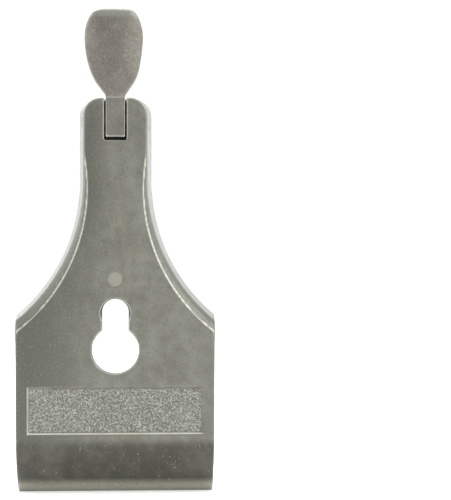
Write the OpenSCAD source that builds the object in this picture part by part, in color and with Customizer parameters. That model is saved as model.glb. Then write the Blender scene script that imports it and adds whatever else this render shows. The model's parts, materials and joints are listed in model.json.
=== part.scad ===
// Lever cap of a bench plane: iron casting, cam lever on a cross pin, flat spring and its rivet.
// X runs across the cap, Y from the front face (0) to the back, Z along it towards the lever.
// The origin is the centre of the keyhole's narrow end on the front face, where the cap screw seats.
// Heights are measured up from the nose edge, and drops down from the top of the casting.

/* [Casting] */
// Length from the nose edge to the top of the neck
cap_len = 99.5; // [94:0.5:112]
// Width across the shoulders
body_w = 50; // [46:0.5:60]
// Width at the nose edge
nose_w = 49.4; // [45:0.1:60]
// Depth from the front face to the rear rims
body_t = 9.5; // [9:0.1:11]
// Height of the shoulder corners
shoulder_h = 45; // [42:0.1:47]
// Width of the neck at its back
neck_w = 18.3; // [17.9:0.1:21]
// Radius of the concave flare from shoulder to neck
flare_r = 44.07; // [41:0.01:46]
// Narrowest width of the flat front face, at the waist
waist_w = 14; // [12:0.1:15]
// Radius of the face edge along the flare
face_r = 45.1; // [42:0.1:48]
// Drop of the face's waist below the end of the flare
waist_drop = 2.1; // [1:0.1:4]
// How far the flare bites into the sides of the neck where the two meet
flare_in = 0.05; // [0.03:0.01:0.1]
// Width that the convex flank beside the face covers
flank_w = 3.5; // [2.5:0.1:4.5]
// Depth at which the convex flank has become square to the face
flank_d = 5; // [4:0.1:7]

/* [Neck] */
// How far the flanks lean out from the face to the back of the neck
head_draft = 1.2; // [0.6:0.1:1.5]
// Radius of the corners at the top
head_r = 4.3; // [3:0.1:5]

/* [Nose] */
// Radius of the rounded front of the nose
nose_r = 16.3; // [14:0.1:20]
// Height at which the flat face turns into the rounded nose
nose_h = 14.3; // [12:0.1:14.5]
// Height of the ground land behind the nose
land_h = 3.5; // [2.5:0.1:5]
// How far the land stands behind the rims
land_proud = 0.4; // [0.2:0.1:0.8]

/* [Front panel] */
// Width of the sunk panel
panel_w = 43.7; // [36:0.1:44]
// Height of the panel's lower edge
panel_low = 15.4; // [14.6:0.05:17]
// Height of the panel's upper edge
panel_top = 26.85; // [24:0.05:28]
// Depth of the panel
panel_d = 0.5; // [0.3:0.1:1]

/* [Keyhole] */
// Height of the centre of the narrow end
seat_h = 45.8; // [44:0.1:47]
// Height of the centre of the large hole
hole_h = 36.3; // [35:0.05:38]
// Width of the narrow end, for the shank of the cap screw
slot_w = 6.7; // [6:0.1:7.5]
// Diameter of the large hole, for the head of the cap screw
hole_d = 11.8; // [11:0.1:13]
// Thickness of the plate round the keyhole
plate_t = 3.7; // [3:0.1:4.5]
// Depth of the chamfer worn round the narrow end
seat_chamfer = 0.35; // [0.2:0.05:0.6]

/* [Back of the casting] */
// Wall left between the large hole's recess and the hollow, at the rims
boss_wall = 2.1; // [1.6:0.1:3]
// Width of the seat left round the large hole inside the recess
ledge_w = 3.1; // [2.5:0.1:3.5]
// Width of the seat left on each side of the keyhole slot
channel_wall = 1.43; // [1:0.01:1.8]
// Width of the rim along each side
rim_w = 2.75; // [2.2:0.05:3.5]
// Radius of each arch at the top of the hollow
arch_r = 5.4; // [4.8:0.1:5.8]
// Height of the centres of the arches
arch_h = 41.8; // [40:0.1:43]
// Depth of the hollow below the rims at the arches
hollow_d = 5.5; // [4.5:0.1:6]
// Height at which the hollow's floor comes out to the rims
floor_h = 6; // [5:0.1:9]
// Radius where the hollow's walls meet its floor
foot_r = 3.2; // [2.4:0.1:3.8]
// How far the boss widens from the rims to the hollow's floor
boss_draft = 2; // [1:0.1:2.4]
// Depth of the spring's pocket below the rims
pocket_d = 2.2; // [1.8:0.1:2.6]
// Drop of the pocket's floor end below the rivet
pocket_drop = 5.7; // [5.3:0.1:6.5]
// Height at which the rims slope down to the back of the neck
web_h = 71; // [68:0.5:74]
// Length of that slope
web_slope = 6; // [4:0.5:8]

/* [Lever slot] */
// Width of the slot for the lever
lever_slot_w = 5.6; // [5.5:0.1:6.4]
// Drop of the slot's end at the front face
lever_slot_drop = 10.6; // [10.5:0.1:12]
// How much the slot's end falls for each millimetre of depth
lever_slot_fall = 0.25; // [0.2:0.01:0.35]

/* [Cross pin] */
// Diameter of the pin
pin_d = 3.1; // [2.6:0.1:3.4]
// Depth of the pin's centre behind the front face
pin_y = 3.2; // [3.1:0.1:3.5]
// Drop of the pin's centre
pin_drop = 5.7; // [5.4:0.1:5.8]
// Running clearance of the lever's bore, on the radius
pin_clear = 0.05; // [0.02:0.01:0.08]

/* [Cam lever] */
// Width of the heel and cam
lever_w = 4.8; // [4.5:0.1:5.1]
// Radius of the cam
cam_r = 4.8; // [4.7:0.05:4.9]
// Offset of the cam's centre from the pin, to the back and up alike
cam_off = 0.6; // [0.5:0.05:0.65]
// Radius of the heel's lower front edge
heel_r = 0.5; // [0.3:0.1:0.8]
// Length of the thumb tab beyond the casting
tab_len = 22.3; // [20:0.1:26]
// Widest width of the thumb tab
tab_w = 14.6; // [12:0.1:17]
// Distance from the casting to the tab's widest place
tab_wide = 15.1; // [14:0.1:16]
// Distance from the casting to where the tab begins to widen
tab_neck = 0.9; // [0.6:0.1:1.5]
// Width between the tab's sides where they would reach the tip
tip_w = 10.7; // [9.5:0.1:12]
// Radius of the tip's corners, seen from the front
tip_corner_r = 3; // [2:0.1:3.4]
// How far each arc of the tab's outline bulges out of the one below it, to cross it
tab_bulge = 0.02; // [0.01:0.01:0.04]
// Radius of the tip, seen from the side
tip_r = 1.4; // [1.2:0.1:1.5]
// How far the middle of the tab stands in front of the casting's face
tab_proud = 1; // [0.5:0.1:1.5]
// Radius across the tab's rounded front
crown_r = 16; // [13:0.5:24]
// Depth of the tab's back ridge where it leaves the casting
ridge_low = 4.3; // [4:0.1:4.6]
// Depth of the tab's back ridge at the tip
ridge_top = 2.9; // [2.7:0.1:3.2]
// Radius of the two hollow flutes beside the ridge
flute_r = 8; // [7:0.1:10]
// Depth of the flutes below the ridge
flute_d = 1.6; // [1.2:0.1:1.8]
// Radius, seen from the side, at which the flutes run out towards the tip
flute_end_r = 4; // [3:0.1:6]
// How far the flutes cut below the line that the ridge would have on the tab's plain back
flute_sink = 0.05; // [0.04:0.01:0.1]
// Length of the plain lip between the flutes and the tip
lip_len = 2.4; // [2.2:0.1:3]
// Width of the thumb notch at the back of the tip
notch_w = 4; // [3:0.1:5]
// Depth of the thumb notch
notch_d = 0.5; // [0.3:0.1:0.6]
// Tilt of the thumb notch up from straight back
notch_tilt = 20; // [15:1:30]

/* [Flat spring] */
// Width of the spring at its top
spring_w = 17.1; // [16:0.1:17.2]
// Width of the spring at its foot
spring_foot_w = 16.6; // [15.5:0.1:17.1]
// Thickness of the spring
spring_t = 1.5; // [1.2:0.1:1.6]
// Length of the spring below the rivet
spring_foot = 4.8; // [4.5:0.1:5]
// Inset of the spring's top edge from the top of the casting
spring_inset = 0.1; // [0:0.1:1]
// Radius of the spring's top corners
spring_r = 4; // [3:0.1:5]
// Radius of the gently curved top edge
spring_crown_r = 60; // [50:1:90]
// Clearance between each side of the spring and its pocket
pocket_clear = 0.15; // [0.1:0.05:0.3]
// Gap between the cam and the spring
cam_gap = 0.15; // [0.1:0.01:0.2]

/* [Rivet] */
// Height of the rivet above the keyhole's narrow end
rivet_up = 8.2; // [8.1:0.1:9]
// Diameter of the rivet's shank
shank_d = 3.6; // [3:0.1:3.8]
// Diameter of the rivet's head
head_d = 7.3; // [6.8:0.1:7.8]
// Thickness of the rivet's head
head_t = 0.8; // [0.6:0.1:0.9]
// Gap between the spring and the rivet's head
head_gap = 0.2; // [0.18:0.01:0.24]
// Clearance of the spring's hole round the shank, on the radius
shank_clear = 0.15; // [0.12:0.01:0.2]

/* [Hidden] */
$fn = 96;
cut = 1;
iron = [0.48, 0.48, 0.45];
lever_iron = [0.50, 0.48, 0.46];
steel = [0.62, 0.62, 0.60];
spring_steel = [0.77, 0.77, 0.75];
rivet_steel = [0.85, 0.85, 0.82];
hull_fn = 32;

neck_t = body_t - pocket_d;
flare_x = neck_w / 2 + flare_r;
flare_h = shoulder_h + sqrt(pow(flare_r, 2) - pow(flare_x - body_w / 2, 2));
waist_h = flare_h - waist_drop;
waist_x = waist_w / 2 + face_r;
flank_r = (pow(flank_w, 2) + pow(flank_d, 2)) / (2 * flank_w);
flank_side = face_r - flank_w;
lean = head_draft / neck_t;
boss_r = hole_d / 2 + ledge_w + boss_wall;
recess_r = hole_d / 2 + ledge_w;
channel_r = slot_w / 2 + channel_wall;
arch_x = body_w / 2 - rim_w - arch_r;
hollow_y = body_t - hollow_d;
rivet_h = seat_h + rivet_up;
pocket_w = spring_w + 2 * pocket_clear;
pin_z = cap_len - pin_drop;
cam_y = pin_y + cam_off;
cam_z = pin_z + cam_off;
spring_reach = cam_z - rivet_h;
spring_lift = cam_y + cam_r + cam_gap - neck_t;
spring_lean = atan(spring_lift / spring_reach);
tab_low_r = side_radius(tab_wide - tab_neck, (tab_w - lever_w) / 2 + tab_bulge);
tab_top_r = side_radius(tab_len - tab_wide, (tab_w - tip_w) / 2);
tab_top_x = tab_w / 2 + tab_bulge - tab_top_r;
tab_mid = tab_len / 2;
tip_corner_rise = tab_len - tip_corner_r - tab_wide;
tip_corner_x = tab_top_x + sqrt(pow(tab_top_r - tip_corner_r + tab_bulge, 2) - pow(tip_corner_rise, 2));
tip_join = tab_wide + tip_corner_rise * tab_top_r / (tab_top_r - tip_corner_r);
tab_front_r = side_radius(tab_mid, tab_proud);
tip_z = tab_len - tip_r;
tip_y = tab_front_r - tab_proud - sqrt(pow(tab_front_r, 2) - pow(tip_z - tab_mid, 2)) + tip_r;
ridge_lean = atan((ridge_low - ridge_top) / tip_z);
flute_x = sqrt(pow(flute_r, 2) - pow(flute_r - flute_d, 2));
flute_rise = flute_d + flute_sink;
flute_run = tab_len - lip_len - sqrt(pow(flute_end_r, 2) - pow(flute_end_r - flute_rise, 2));
notch_r = side_radius(notch_w / 2, notch_d);
head_y = neck_t + spring_t + head_gap;

// Radius of the arc that leaves a line and has moved rise away from it after run
function side_radius(run, rise) = (pow(run, 2) + pow(rise, 2)) / (2 * rise);

// Puts what is drawn up from the nose edge into the part's frame
module placed() {
    translate([0, 0, -seat_h]) children();
}

// Gives a front-view outline its depth, from y0 to y1
module plate(y0, y1) {
    translate([0, y1, 0]) rotate([90, 0, 0]) linear_extrude(y1 - y0) children();
}

// Gives a side-view outline, drawn as depth and height, its width across the middle
module strip(width) {
    translate([-width / 2, 0, 0]) rotate([90, 0, 90]) linear_extrude(width) children();
}

// Repeats what is drawn on the right side on the left
module both_sides() {
    children();
    mirror([1, 0, 0]) children();
}

// Round bar along the depth from y0 to y1, centred at x and a height
module bar(x, z, y0, y1, r0, r1) {
    translate([x, y0, z]) rotate([-90, 0, 0]) cylinder(h = y1 - y0, r1 = r0, r2 = r1);
}

// Front view of nose, body and flare, with the neck left long and wide for its trim
module outline() {
    top = cap_len + cut / 2;
    difference() {
        polygon([[-nose_w / 2, 0], [nose_w / 2, 0], [body_w / 2, shoulder_h], [body_w / 2, top],
                 [-body_w / 2, top], [-body_w / 2, shoulder_h]]);
        for (side = [-1, 1]) translate([side * flare_x, flare_h]) circle(flare_r, $fn = 192);
    }
}

// Flank cut along the right side of the flare: convex beside the face's sharp edge, then drafted
module flank_cut() {
    translate([waist_x, 0, waist_h]) rotate([-90, 0, 0]) rotate_extrude($fn = 192) difference() {
        translate([flank_side - 2 * flank_w, -cut]) square([3 * flank_w, flank_d + cut]);
        translate([flank_side + flank_r, flank_d]) circle(flank_r);
    }
    bar(flare_x, flare_h, -cut, body_t + cut, flare_r + flare_in + lean * (neck_t + cut),
        flare_r + flare_in - lean * (pocket_d + cut), $fn = 192);
}

// Plate with one rounded corner whose side leans out with the right flank of the neck
module leaning_plate(low) {
    translate([neck_w / 2, neck_t, 0]) rotate([0, 0, -atan(lean)]) plate(-body_w, body_w) {
        translate([-body_w, low]) square([body_w, cap_len - head_r - low]);
        translate([-body_w, low]) square([body_w - head_r, cap_len - low]);
        translate([-head_r, cap_len - head_r]) circle(head_r);
    }
}

// Drafted block that the head of the neck is trimmed to
module head_block(low) {
    intersection() {
        leaning_plate(low);
        mirror([1, 0, 0]) leaning_plate(low);
    }
}

// What is trimmed off the top of the neck
module head_trim() {
    difference() {
        translate([-body_w / 2, -cut, flare_h]) cube([body_w, body_t + cut, cap_len + cut - flare_h]);
        head_block(flare_h - cut);
    }
}

// Round front of the nose
module nose_trim() {
    strip(body_w + 2 * cut) difference() {
        translate([-cut, -cut]) square([nose_r + cut, nose_h + cut]);
        translate([nose_r, nose_h]) circle(nose_r, $fn = 192);
    }
}

// Keyhole for the cap screw, with the chamfer worn round its narrow end
module keyhole() {
    plate(-cut, body_t + cut) {
        translate([0, hole_h]) circle(d = hole_d);
        translate([0, seat_h]) circle(d = slot_w);
        translate([-slot_w / 2, hole_h]) square([slot_w, seat_h - hole_h]);
    }
    bar(0, seat_h, 0, seat_chamfer, slot_w / 2 + seat_chamfer, slot_w / 2);
    plate(plate_t, body_t + cut) {
        translate([0, hole_h]) circle(recess_r);
        translate([0, seat_h]) circle(channel_r);
        translate([-channel_r, hole_h]) square([2 * channel_r, seat_h - hole_h]);
    }
}

// Ball that rounds the foot of the hollow's walls at the top of the right trough
module trough_ball() {
    translate([arch_x, hollow_y + foot_r, arch_h]) sphere(foot_r, $fn = hull_fn);
}

// Right trough of the hollow, arched at the rims, its floor rising to the rims at its low end
module trough() {
    hull() {
        bar(arch_x, arch_h, body_t, body_t + cut, arch_r, arch_r, $fn = hull_fn);
        trough_ball();
        translate([arch_x - arch_r, body_t, floor_h]) cube([2 * arch_r, cut, cut]);
    }
}

// Boss round the keyhole that stands in the hollow, widening to the floor
module boss() {
    low_r = boss_r + boss_draft;
    flank = [[low_r, hollow_y], [boss_r, body_t], [boss_r, body_t + 2 * cut]];
    translate([0, 0, hole_h]) {
        rotate([-90, 0, 0]) rotate_extrude()
            polygon([[0, hollow_y], flank[0], flank[1], flank[2], [0, body_t + 2 * cut]]);
        linear_extrude(cap_len - hole_h) both_sides()
            polygon([[0, hollow_y], flank[0], flank[1], flank[2], [0, body_t + 2 * cut]]);
    }
}

// Hollow behind the body: two arched troughs, joined below the boss
module hollow() {
    rim_x = arch_x + arch_r;
    difference() {
        union() {
            both_sides() trough();
            hull() {
                both_sides() trough_ball();
                translate([-rim_x, body_t, floor_h]) cube([2 * rim_x, cut, hole_h - floor_h]);
            }
        }
        boss();
    }
}

// Pocket for the spring, and the step down from the rims to the back of the neck
module spring_pocket() {
    low = rivet_h - pocket_drop;
    translate([-pocket_w / 2, neck_t, low]) cube([pocket_w, body_t, cap_len]);
    strip(body_w) polygon([[body_t + cut, web_h], [body_t, web_h], [neck_t, web_h + web_slope],
                           [neck_t, cap_len + cut], [body_t + cut, cap_len + cut]]);
}

// Slot through the head for the heel and cam of the lever
module lever_slot() {
    end_z = cap_len - lever_slot_drop;
    far = body_t + cut;
    strip(lever_slot_w) polygon([[-cut, end_z], [0, end_z], [far, end_z - far * lever_slot_fall],
                                 [far, cap_len + cut], [-cut, cap_len + cut]]);
}

// Cross pin as a plain bar, longer than the head is wide
module pin_bar(r) {
    translate([-body_w / 2, pin_y, pin_z]) rotate([0, 90, 0]) cylinder(h = body_w, r = r);
}

module lever_cap_casting() {
    color(iron) placed() difference() {
        union() {
            plate(0, body_t) outline();
            strip(nose_w) polygon([[body_t - cut, 0], [body_t + land_proud, 0],
                                   [body_t + land_proud, land_h - land_proud],
                                   [body_t, land_h], [body_t - cut, land_h]]);
        }
        both_sides() flank_cut();
        head_trim();
        nose_trim();
        translate([-panel_w / 2, -cut, panel_low]) cube([panel_w, cut + panel_d, panel_top - panel_low]);
        keyhole();
        hollow();
        spring_pocket();
        lever_slot();
        pin_bar(pin_d / 2);
        bar(0, rivet_h, -cut, body_t, shank_d / 2, shank_d / 2);
    }
}

// Side view of the heel and cam, up to the top of the casting
module heel_profile() {
    heel_z = cam_z - cam_r;
    ridge_z = cap_len + cam_off * 2;
    difference() {
        union() {
            translate([cam_y, cam_z]) circle(cam_r);
            translate([heel_r, heel_z]) square([cam_y - heel_r, cam_z - heel_z]);
            translate([heel_r, heel_z + heel_r]) circle(heel_r);
            translate([0, heel_z + heel_r]) square([cam_y, ridge_z - heel_z - heel_r]);
            polygon([[0, cam_z], [cam_y + cam_r * sin(45), cam_z + cam_r * cos(45)],
                     [ridge_low, ridge_z], [0, ridge_z]]);
        }
        translate([-cam_r, 0]) square([cam_r, 2 * cap_len]);
    }
}

// Outline between two arcs, one for each side of the tab, centred across the middle at x
module tab_sides(x, r) {
    intersection_for(side = [-1, 1]) translate([side * x, tab_wide]) circle(r, $fn = 192);
}

// Front view of the thumb tab, from the casting's top at height 0
module tab_outline() {
    intersection() {
        tab_sides(tab_w / 2 - tab_low_r, tab_low_r);
        union() {
            tab_sides(tab_top_x, tab_top_r);
            translate([-tab_w, tab_neck]) square([2 * tab_w, tab_wide - tab_neck]);
        }
        union() {
            translate([-tab_w, tab_neck]) square([2 * tab_w, tip_join - tab_neck]);
            for (side = [-1, 1]) translate([side * tip_corner_x, tab_len - tip_corner_r])
                circle(tip_corner_r);
            translate([-tip_corner_x, tab_wide]) square([2 * tip_corner_x, tab_len - tab_wide]);
        }
    }
    translate([-lever_w / 2, -cut]) square([lever_w, tab_neck + 2 * cut]);
}

// Side view of the thumb tab: bowed front, sloping back and round tip
module tab_profile() {
    intersection() {
        translate([tab_front_r - tab_proud, tab_mid]) circle(tab_front_r, $fn = 192);
        polygon([[-tab_proud - cut, -cut], [ridge_low, -cut], [ridge_low, 0],
                 [ridge_top, tip_z], [-tab_proud - cut, tip_z]]);
    }
    translate([tip_y, tip_z]) circle(tip_r);
}

// Hollow flute on the right of the tab's back ridge, its floor curving out to the back at the lip
module flute() {
    translate([flute_x, ridge_low - flute_rise, 0]) rotate([ridge_lean, 0, 0]) intersection() {
        translate([0, flute_r, 0]) cylinder(h = tab_len, r = flute_r);
        strip(3 * flute_r) {
            translate([-cut, -cut]) square([2 * flute_r + 2 * cut, flute_run + cut]);
            translate([flute_end_r - flute_sink, flute_run]) circle(flute_end_r);
        }
    }
}

// Thumb notch scooped out of the back of the tip
module notch() {
    out = tip_r - notch_d + notch_r;
    translate([0, tip_y + out * cos(notch_tilt), tip_z + out * sin(notch_tilt)]) sphere(notch_r);
}

module cam_lever() {
    color(lever_iron) placed() difference() {
        union() {
            strip(lever_w) heel_profile();
            translate([0, 0, cap_len]) intersection() {
                plate(-body_t, body_t) tab_outline();
                strip(2 * tab_w) tab_profile();
                translate([0, crown_r - tab_proud, -cut]) cylinder(h = tab_len + 2 * cut, r = crown_r);
            }
        }
        translate([0, 0, cap_len]) {
            both_sides() flute();
            notch();
        }
        pin_bar(pin_d / 2 + pin_clear);
    }
}

module lever_pivot_pin() {
    color(steel) placed() intersection() {
        pin_bar(pin_d / 2);
        head_block(flare_h);
    }
}

// Front view of the spring, measured up from its rivet
module spring_outline() {
    top = cap_len - spring_inset - rivet_h;
    intersection() {
        union() {
            polygon([[-spring_foot_w / 2, -spring_foot], [spring_foot_w / 2, -spring_foot],
                     [spring_w / 2, top - spring_r], [-spring_w / 2, top - spring_r]]);
            for (side = [-1, 1]) translate([side * (spring_w / 2 - spring_r), top - spring_r])
                circle(spring_r);
            translate([spring_r - spring_w / 2, -spring_foot])
                square([spring_w - 2 * spring_r, top + spring_foot]);
        }
        translate([0, top - spring_crown_r]) circle(spring_crown_r, $fn = 192);
    }
}

// Side view of the spring, measured from its rivet: a flat foot, then the lean off the neck
module spring_profile() {
    top = cap_len - rivet_h + cut;
    low = -spring_foot - cut;
    polygon([[0, low], [0, 0], [top * tan(spring_lean), top],
             [top * tan(spring_lean) + spring_t / cos(spring_lean), top],
             [spring_t, -spring_t * tan(spring_lean / 2)], [spring_t, low]]);
}

module flat_spring() {
    color(spring_steel) placed() translate([0, neck_t, rivet_h]) difference() {
        intersection() {
            plate(-cut, body_t) spring_outline();
            strip(2 * spring_w) spring_profile();
        }
        bar(0, 0, -cut, spring_t + cut, shank_d / 2 + shank_clear, shank_d / 2 + shank_clear);
    }
}

module spring_rivet() {
    color(rivet_steel) placed() {
        bar(0, rivet_h, 0, head_y + cut / 2, shank_d / 2, shank_d / 2);
        bar(0, rivet_h, head_y, head_y + head_t, head_d / 2, head_d / 2);
    }
}

lever_cap_casting();
cam_lever();
lever_pivot_pin();
flat_spring();
spring_rivet();
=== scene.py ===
"""Looks of a bench plane's lever cap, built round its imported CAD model.

Lengths are in metres. X runs across the cap, Y from the front face to the back and Z along it towards
the lever, with the origin on the front face where the cap screw seats.
"""

import json
import logging
import math
from dataclasses import dataclass, field
from enum import Enum
from functools import reduce

import bmesh
import bpy
import numpy as np
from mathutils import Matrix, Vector, noise


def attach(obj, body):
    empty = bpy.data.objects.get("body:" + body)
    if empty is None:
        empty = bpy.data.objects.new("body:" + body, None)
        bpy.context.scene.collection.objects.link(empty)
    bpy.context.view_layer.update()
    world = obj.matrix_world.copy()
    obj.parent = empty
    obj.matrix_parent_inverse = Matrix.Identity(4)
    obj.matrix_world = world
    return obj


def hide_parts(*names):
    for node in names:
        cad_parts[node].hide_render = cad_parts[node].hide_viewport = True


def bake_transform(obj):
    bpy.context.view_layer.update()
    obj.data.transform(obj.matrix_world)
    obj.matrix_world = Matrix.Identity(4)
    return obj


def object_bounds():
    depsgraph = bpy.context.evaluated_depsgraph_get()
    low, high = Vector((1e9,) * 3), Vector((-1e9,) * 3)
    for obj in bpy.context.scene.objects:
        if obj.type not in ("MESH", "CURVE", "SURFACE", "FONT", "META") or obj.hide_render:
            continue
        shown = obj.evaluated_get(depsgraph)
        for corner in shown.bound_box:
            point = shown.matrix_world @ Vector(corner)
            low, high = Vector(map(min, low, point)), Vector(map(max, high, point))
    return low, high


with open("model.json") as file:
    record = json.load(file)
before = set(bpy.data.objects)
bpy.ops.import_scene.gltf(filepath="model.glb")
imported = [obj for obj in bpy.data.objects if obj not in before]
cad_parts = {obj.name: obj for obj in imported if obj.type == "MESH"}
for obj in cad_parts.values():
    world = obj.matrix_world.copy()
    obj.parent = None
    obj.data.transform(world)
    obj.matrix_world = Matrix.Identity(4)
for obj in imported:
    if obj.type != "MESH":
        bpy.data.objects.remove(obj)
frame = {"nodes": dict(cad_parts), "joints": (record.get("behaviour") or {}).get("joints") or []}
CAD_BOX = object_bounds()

MM = 0.001
Socket = bpy.types.NodeSocket
Colour = tuple[float, float, float]
Place = tuple[float, float, float]
Span = tuple[float, float]


class Body(Enum):
    """CAD bodies that the pieces ride on."""

    CAP = "cap"
    LEVER = "lever"
    SPRING = "spring"


class Mask(Enum):
    """Vertex masks that tell a finish where a surface was ground, worn or rusted, and where light and shade
    are painted into its colour.
    """

    GROUND = "ground"
    # edge wear, with painted highlights and glints on it
    WEAR_AND_HIGHLIGHT = "crest"
    # painted shade in corners and recesses, and on the spring's edges
    DEEP_SHADE = "hollow"
    RUST = "rust"
    # painted shade on the nose where it curves away
    NOSE_SHADE = "nose"
    # painted reflection on the nose's lowest strip, painted highlight on the lever's tip
    LIP_HIGHLIGHT = "lip"
    PANEL = "panel"
    PEBBLE = "pebble"
    # painted reflection on the flanks and the body's side walls
    FLANK_REFLECTION = "flank"
    # painted shade on the cap's face, painted glints on the lever's back, the cam's rub on the spring
    SHADE_GLINT_AND_RUB = "shade"
    FLOOR = "floor"
    # an olive patch on the cap, a lighter top on the spring, and painted sheen on the lever's back
    TINT_AND_SHEEN = "sheen"


def joint(name: str) -> dict:
    """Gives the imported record's joint of that name, with its place in metres."""
    return next(j for j in frame["joints"] if j["name"] == name)


def ease(values: np.ndarray, low: float, high: float) -> np.ndarray:
    """Turns values smoothly from 0 at low to 1 at high, or back where low is the larger."""
    t = np.clip((values - low) / (high - low), 0, 1)
    return t * t * (3 - 2 * t)


def hill(a: np.ndarray, b: np.ndarray | float = 0.0) -> np.ndarray:
    """Share that falls from 1 with one or two distances, both given in widths of the hill."""
    return np.exp(-(a**2) - b**2)


def grain(points: np.ndarray, size: float, shift: float = 0.0) -> np.ndarray:
    """Soft noise at points, about -1 to 1, with lumps of about that size and a shift of the pattern."""
    return np.array([noise.noise(Vector(p)) for p in points / size + shift])


def pebbles(points: np.ndarray, size: float) -> np.ndarray:
    """Height at points of round lumps about that size apart, from 0 between them to 1 on top."""
    near = np.array([noise.voronoi(Vector(p))[0][:2] for p in points / size])
    return np.clip((near[:, 1] - near[:, 0]) * 1.6, 0, 1)


@dataclass
class Skin:
    """A piece's mesh as arrays, to be softened, worn and measured.

    The columns that points.T gives are views, so they follow the points as these change.
    """

    mesh: bpy.types.Mesh
    points: np.ndarray = field(init=False)
    edges: np.ndarray = field(init=False)
    counts: np.ndarray = field(init=False)

    def __post_init__(self) -> None:
        """Reads the points and edges."""
        self.points = np.zeros(len(self.mesh.vertices) * 3)
        self.mesh.vertices.foreach_get("co", self.points)
        self.points = self.points.reshape(-1, 3)
        self.edges = np.zeros(len(self.mesh.edges) * 2, int)
        self.mesh.edges.foreach_get("vertices", self.edges)
        self.edges = self.edges.reshape(-1, 2)
        self.counts = np.bincount(self.edges.ravel(), minlength=len(self.points)).astype(float)

    def around(self, values: np.ndarray) -> np.ndarray:
        """Mean of each point's neighbours.

        Args:
            values: one value or one row a point.

        Returns:
            The means, in the same shape.
        """
        columns = values.reshape(len(values), -1)
        out = np.empty_like(columns)
        a, b = self.edges.T
        for k in range(columns.shape[1]):
            total = np.bincount(a, columns[b, k], len(columns))
            total += np.bincount(b, columns[a, k], len(columns))
            out[:, k] = total / self.counts
        return out.reshape(values.shape)

    def blurred(self, values: np.ndarray, rounds: int) -> np.ndarray:
        """Averages values with their neighbours.

        Args:
            values: one value or one row a point.
            rounds: how many times they are averaged.

        Returns:
            The averaged values.
        """
        for _ in range(rounds):
            values = (values + self.around(values)) / 2
        return values

    def normals(self) -> np.ndarray:
        """Reads the normals of the surface as it is now.

        Returns:
            One unit vector a point.
        """
        self.write()
        out = np.zeros(len(self.points) * 3)
        self.mesh.vertices.foreach_get("normal", out)
        return out.reshape(-1, 3)

    def front(self) -> np.ndarray:
        """How squarely each point faces the front: 1 for the front and -1 for the back."""
        return -self.normals()[:, 1]

    def soften(self, rounds: int, weight: np.ndarray | float = 1.0) -> None:
        """Rounds the form off.

        Args:
            rounds: how many times each point moves to the mean of its neighbours.
            weight: how far it moves there, for all points or one share a point.
        """
        share = weight if isinstance(weight, float) else weight[:, None]
        for _ in range(rounds):
            self.points += (self.around(self.points) - self.points) * share

    def relief(self, rounds: int) -> np.ndarray:
        """Metres that each point stands out of the form around it, averaged over that many rounds."""
        return np.einsum("ij,ij->i", self.points - self.blurred(self.points, rounds), self.normals())

    def push(self, amount: np.ndarray) -> None:
        """Moves each point along its normal by that many metres."""
        self.points += self.normals() * amount[:, None]

    def write(self) -> None:
        """Puts the points back into the mesh."""
        self.mesh.vertices.foreach_set("co", self.points.ravel())
        self.mesh.update()

    def keep(self, mask: Mask, values: np.ndarray) -> None:
        """Stores a mask for the finish to read."""
        attribute = self.mesh.attributes.new(mask.value, "FLOAT", "POINT")
        attribute.data.foreach_set("value", np.clip(values, 0, 1).astype(np.float32))


def even_copy(node: str, name: str, voxel: float) -> bpy.types.Object:
    """Makes a new piece with a CAD node's form as one closed mesh of even faces.

    Args:
        node: the CAD node's name.
        name: the piece's name.
        voxel: size of a face, in metres.

    Returns:
        The new object, which isn't riding on a body yet.
    """
    mesh = frame["nodes"][node].data.copy()
    form = bmesh.new()
    form.from_mesh(mesh)
    bmesh.ops.remove_doubles(form, verts=form.verts, dist=MM / 10000)
    form.to_mesh(mesh)
    form.free()
    rough = bpy.data.objects.new(name + "_rough", mesh)
    bpy.context.scene.collection.objects.link(rough)
    modifier = rough.modifiers.new("even", "REMESH")
    modifier.mode = "VOXEL"
    modifier.voxel_size = voxel
    seen = rough.evaluated_get(bpy.context.evaluated_depsgraph_get())
    piece = bpy.data.objects.new(name, bpy.data.meshes.new_from_object(seen))
    bpy.context.scene.collection.objects.link(piece)
    bpy.data.objects.remove(rough)
    bpy.data.meshes.remove(mesh)
    piece.data.materials.clear()
    piece.data.shade_smooth()
    return piece


def lighten(piece: bpy.types.Object, triangles: int) -> None:
    """Thins a mesh out where it is flat.

    Args:
        piece: the piece, whose mesh is replaced.
        triangles: how many triangles to leave.
    """
    modifier = piece.modifiers.new("thin", "DECIMATE")
    modifier.use_collapse_triangulate = True
    faces = sum(len(p.vertices) - 2 for p in piece.data.polygons)
    modifier.ratio = min(1.0, triangles / faces)
    seen = piece.evaluated_get(bpy.context.evaluated_depsgraph_get())
    mesh = bpy.data.meshes.new_from_object(seen)
    piece.modifiers.clear()
    piece.data = mesh
    mesh.shade_smooth()


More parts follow.
